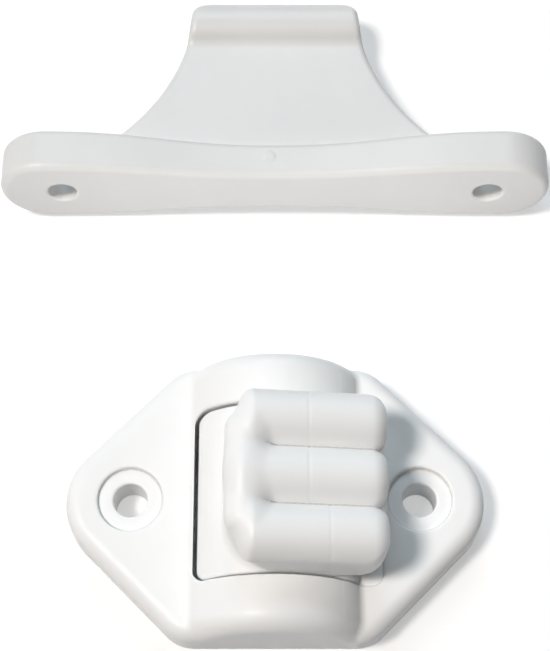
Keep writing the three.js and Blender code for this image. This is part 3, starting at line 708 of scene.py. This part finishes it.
def moulded_plastic(name, colour, roughness, translucence):
    nodes = Nodes(name)
    shader = nodes.shader
    clouded = [value * CLOUD_TINT for value in colour]
    rubbed = [min(value * RUBBED_TINT, 1) for value in colour]
    crease_shade = [value * CREASE_SHADE_TINT for value in colour]
    clouds = nodes.noise(CLOUD_SCALE)
    shade = nodes.mix(nodes.spread(clouds, 0, 1), clouded, colour)
    shade = nodes.mix(nodes.edges(*RUBBED_EDGES), shade, rubbed)
    # Painted shade: the base colour is darker in sharp inner creases
    shade = nodes.mix(nodes.creases(*SHADED_CREASES), shade, crease_shade)
    nodes.link(shade, shader.inputs["Base Color"])
    specks = nodes.noise(SPECK_SCALE, 5)
    smooth, rough = roughness - SPECK_ROUGHNESS, roughness + SPECK_ROUGHNESS
    nodes.link(nodes.spread(specks, smooth, rough), shader.inputs["Roughness"])
    flow = nodes.noise(FLOW_SCALE, 2)
    grain = nodes.noise(GRAIN_SCALE, 2)
    nodes.bump([(flow, *FLOW_BUMP), (grain, *GRAIN_BUMP)])
    shader.inputs["IOR"].default_value = PLASTIC_IOR
    shader.inputs["Subsurface Weight"].default_value = translucence
    shader.inputs["Subsurface Radius"].default_value = TRANSLUCENT_COLOUR
    shader.inputs["Subsurface Scale"].default_value = TRANSLUCENT_DEPTH
    return nodes.material


def drawn_steel(name, colour, roughness, stretch):
    nodes = Nodes(name)
    shader = nodes.shader
    shader.inputs["Metallic"].default_value = 1
    dull = [value * DULL_TINT for value in colour]
    bright = [min(value * BRIGHT_TINT, 1) for value in colour]
    streaks = nodes.noise(STREAK_SCALE, 4, stretch)
    shade = nodes.mix(nodes.spread(nodes.noise(DULL_SCALE), 0, 1), dull, colour)
    shade = nodes.mix(nodes.edges(*BRIGHT_EDGES), shade, bright)
    nodes.link(shade, shader.inputs["Base Color"])
    smooth, rough = roughness - STREAK_SMOOTHER, roughness + STREAK_ROUGHER
    nodes.link(nodes.spread(streaks, smooth, rough), shader.inputs["Roughness"])
    nodes.bump([(streaks, *STREAK_BUMP)])
    return nodes.material


CATCH_WHITE = (0.9, 0.905, 0.9)
# Painted shade: the keeper is the same white plastic as the catch, given a greyer base colour for the dimmer
# light on it
KEEPER_SHADED_WHITE = (0.7, 0.7, 0.69)
PLATE_WHITE = (0.8, 0.8, 0.79)
PIN_GREY = (0.66, 0.67, 0.69)
SPRING_GREY = (0.6, 0.61, 0.63)
ZINC_GREY = (0.7, 0.71, 0.72)

white_plastic = moulded_plastic("white_plastic", CATCH_WHITE, 0.47, 0.12)
# The keeper's material carries painted shade in its greyer base colour
keeper_plastic = moulded_plastic("keeper_plastic", KEEPER_SHADED_WHITE, 0.4, 0.12)
plate_plastic = moulded_plastic("plate_plastic", PLATE_WHITE, 0.52, 0.05)
pin_steel = drawn_steel("pin_steel", PIN_GREY, 0.25, (12, 1, 12))
spring_steel = drawn_steel("spring_steel", SPRING_GREY, 0.32, (1, 6, 1))
screw_steel = drawn_steel("screw_steel", ZINC_GREY, 0.3, (1, 1, 8))


# Pieces


def dress(piece, body, node, material):
    piece.data.materials.append(material)
    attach(piece, body)
    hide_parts(node)


def add_catch():
    base = skin("base_moulding", catch_base, *node_box("catch_base"), BASE_STEP)
    dress(base, "catch", "catch_base", white_plastic)
    plate = skin("back_cover", back_plate, *node_box("back_plate"), PLATE_STEP)
    dress(plate, "catch", "back_plate", plate_plastic)
    pin = skin("hinge_pin", pivot_pin, *node_box("pivot_pin"), PIN_STEP)
    dress(pin, "catch", "pivot_pin", pin_steel)
    spring = tube("lever_spring", spring_path(), SPRING_WIRE / 2, SPRING_SIDES)
    dress(spring, "catch", "torsion_spring", spring_steel)
    screw_low = (-SCREW_HEAD_RADIUS, -SCREW_HEAD_RADIUS, 0)
    screw_high = (SCREW_HEAD_RADIUS, SCREW_HEAD_RADIUS, SCREW_LENGTH)
    for i in range(1, PLATE_SCREWS + 1):
        node = f"back_plate_screw_{i}"
        low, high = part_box(node)
        screw = skin(f"cover_screw_{i}", plate_screw, screw_low, screw_high, SCREW_STEP)
        screw.location = ((low.x + high.x) / 2, (low.y + high.y) / 2, low.z)
        dress(screw, "catch", node, screw_steel)


def add_lever():
    """The rows of the lever's grid straddle the valleys between its ridges, which keeps the creases sharp."""
    low, high = node_box("finger_lever")
    rows = math.ceil((-low[1] - RIDGE_PITCH / 2) / LEVER_STEP)
    low[1] = -RIDGE_PITCH / 2 - (rows - 0.5) * LEVER_STEP
    lever = skin("lever_moulding", finger_lever, low, high, LEVER_STEP)
    lever.data.set_sharp_from_angle(angle=VALLEY_ANGLE)
    dress(lever, "lever", "finger_lever", white_plastic)


def add_keeper():
    low = (-KEEPER_HALF_LENGTH, 0, -KEEPER_END_RADIUS)
    high = (KEEPER_HALF_LENGTH, KEEPER_THICKNESS + TONGUE_LENGTH, KEEPER_END_RADIUS)
    piece = skin("keeper_moulding", keeper, low, high, KEEPER_STEP)
    piece.data.transform(keeper_place())
    lowest = min(vertex.co.z for vertex in piece.data.vertices)
    piece.data.transform(Matrix.Translation((0, 0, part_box("keeper")[0].z - lowest)))
    dress(piece, "keeper", "keeper", keeper_plastic)


add_catch()
add_lever()
add_keeper()


# Floor, light and camera

FLOOR_SIZE = 2
FLOOR_DROP = 0.05 * MM
FLOOR_GREY = (0.65, 0.65, 0.65, 1)
FLOOR_GLOW = 0.4
SKY = (0.97, 0.99, 1.0, 1)
SKY_STRENGTH = 0.08
KEY_COLOUR = (1.0, 0.945, 0.905)
KEY_TO_LIGHT = Vector((-0.42, -0.1, 0.9))
KEY_DISTANCE = 2.5
KEY_SIZE = 0.55
KEY_SHARE = 0.78
BACK_COLOUR = (0.74, 0.89, 1.0)
BACK_TO_LIGHT = Vector((-0.05, 0.72, 0.69))
BACK_DISTANCE = 2.5
BACK_SIZE = 1.4
BACK_SHARE = 0.35
CARD_PLACE = (0, 0.024, 0.02)
CARD_TOWARDS = Vector((0, -0.97, 0.25))
CARD_SIZE = (0.11, 0.02)
CARD_LIGHT = 1.45
CAMERA_PLACE = (0, -0.06597, 0.24854)
CAMERA_TILT = math.radians(21.39)
CAMERA_LENS = 89.86
CAMERA_SENSOR = 36


def seen_directly(tree):
    """1 for what the camera sees, straight or in a mirror or through glass."""
    path = tree.nodes.new("ShaderNodeLightPath")
    share = path.outputs["Is Camera Ray"]
    for name in ("Is Glossy Ray", "Is Transmission Ray"):
        either = tree.nodes.new("ShaderNodeMath")
        either.operation = "MAXIMUM"
        tree.links.new(share, either.inputs[0])
        tree.links.new(path.outputs[name], either.inputs[1])
        share = either.outputs[0]
    return share


def add_floor():
    half = FLOOR_SIZE / 2
    corners = [(x * half, y * half, -FLOOR_DROP) for x, y in ((-1, -1), (1, -1), (1, 1), (-1, 1))]
    floor = mesh_object("floor", corners, [(0, 1, 2, 3)])
    material = bpy.data.materials.new("floor_white")
    material.use_nodes = True
    tree = material.node_tree
    shader = tree.nodes["Principled BSDF"]
    shader.inputs["Base Color"].default_value = FLOOR_GREY
    shader.inputs["Roughness"].default_value = 1
    shader.inputs["Specular IOR Level"].default_value = 0
    shader.inputs["Emission Color"].default_value = (1, 1, 1, 1)
    glow = tree.nodes.new("ShaderNodeMath")
    glow.operation = "MULTIPLY"
    glow.inputs[1].default_value = FLOOR_GLOW
    tree.links.new(seen_directly(tree), glow.inputs[0])
    tree.links.new(glow.outputs[0], shader.inputs["Emission Strength"])
    floor.data.materials.append(material)


def add_sky():
    world = bpy.data.worlds.new("sky")
    world.use_nodes = True
    bpy.context.scene.world = world
    tree = world.node_tree
    light = tree.nodes["Background"]
    light.inputs["Color"].default_value = SKY
    light.inputs["Strength"].default_value = SKY_STRENGTH
    seen = tree.nodes.new("ShaderNodeBackground")
    seen.inputs["Color"].default_value = (1, 1, 1, 1)
    blend = tree.nodes.new("ShaderNodeMixShader")
    tree.links.new(seen_directly(tree), blend.inputs["Fac"])
    tree.links.new(light.outputs[0], blend.inputs[1])
    tree.links.new(seen.outputs[0], blend.inputs[2])
    tree.links.new(blend.outputs[0], tree.nodes["World Output"].inputs["Surface"])


def add_lamp(name, towards, distance, size, colour, share):
    """A round soft lamp that lights a facing white surface to a share of full white."""
    lamp = bpy.data.lights.new(name, "AREA")
    lamp.shape = "DISK"
    lamp.size = size
    lamp.color = colour
    lamp.energy = math.pi**2 * share * distance**2
    piece = bpy.data.objects.new(name, lamp)
    direction = towards.normalized()
    piece.location = direction * distance
    piece.rotation_euler = direction.to_track_quat("Z", "Y").to_euler()
    bpy.context.scene.collection.objects.link(piece)


def add_card():
    """A low, wide card of light in front of the keeper's mounting face."""
    lamp = bpy.data.lights.new("card", "AREA")
    lamp.shape = "RECTANGLE"
    lamp.size, lamp.size_y = CARD_SIZE
    lamp.energy = math.pi * CARD_SIZE[0] * CARD_SIZE[1] * CARD_LIGHT
    piece = bpy.data.objects.new("card", lamp)
    piece.location = CARD_PLACE
    piece.rotation_euler = CARD_TOWARDS.to_track_quat("Z", "Y").to_euler()
    piece.visible_camera = False
    bpy.context.scene.collection.objects.link(piece)


def add_camera():
    data = bpy.data.cameras.new("camera")
    data.sensor_width = CAMERA_SENSOR
    data.lens = CAMERA_LENS
    camera = bpy.data.objects.new("camera", data)
    camera.location = CAMERA_PLACE
    camera.rotation_euler = (CAMERA_TILT, 0, 0)
    bpy.context.scene.collection.objects.link(camera)
    bpy.context.scene.camera = camera


add_floor()
add_sky()
add_lamp("key", KEY_TO_LIGHT, KEY_DISTANCE, KEY_SIZE, KEY_COLOUR, KEY_SHARE)
add_lamp("back", BACK_TO_LIGHT, BACK_DISTANCE, BACK_SIZE, BACK_COLOUR, BACK_SHARE)
add_card()
add_camera()
bpy.context.scene.view_settings.view_transform = "Standard"
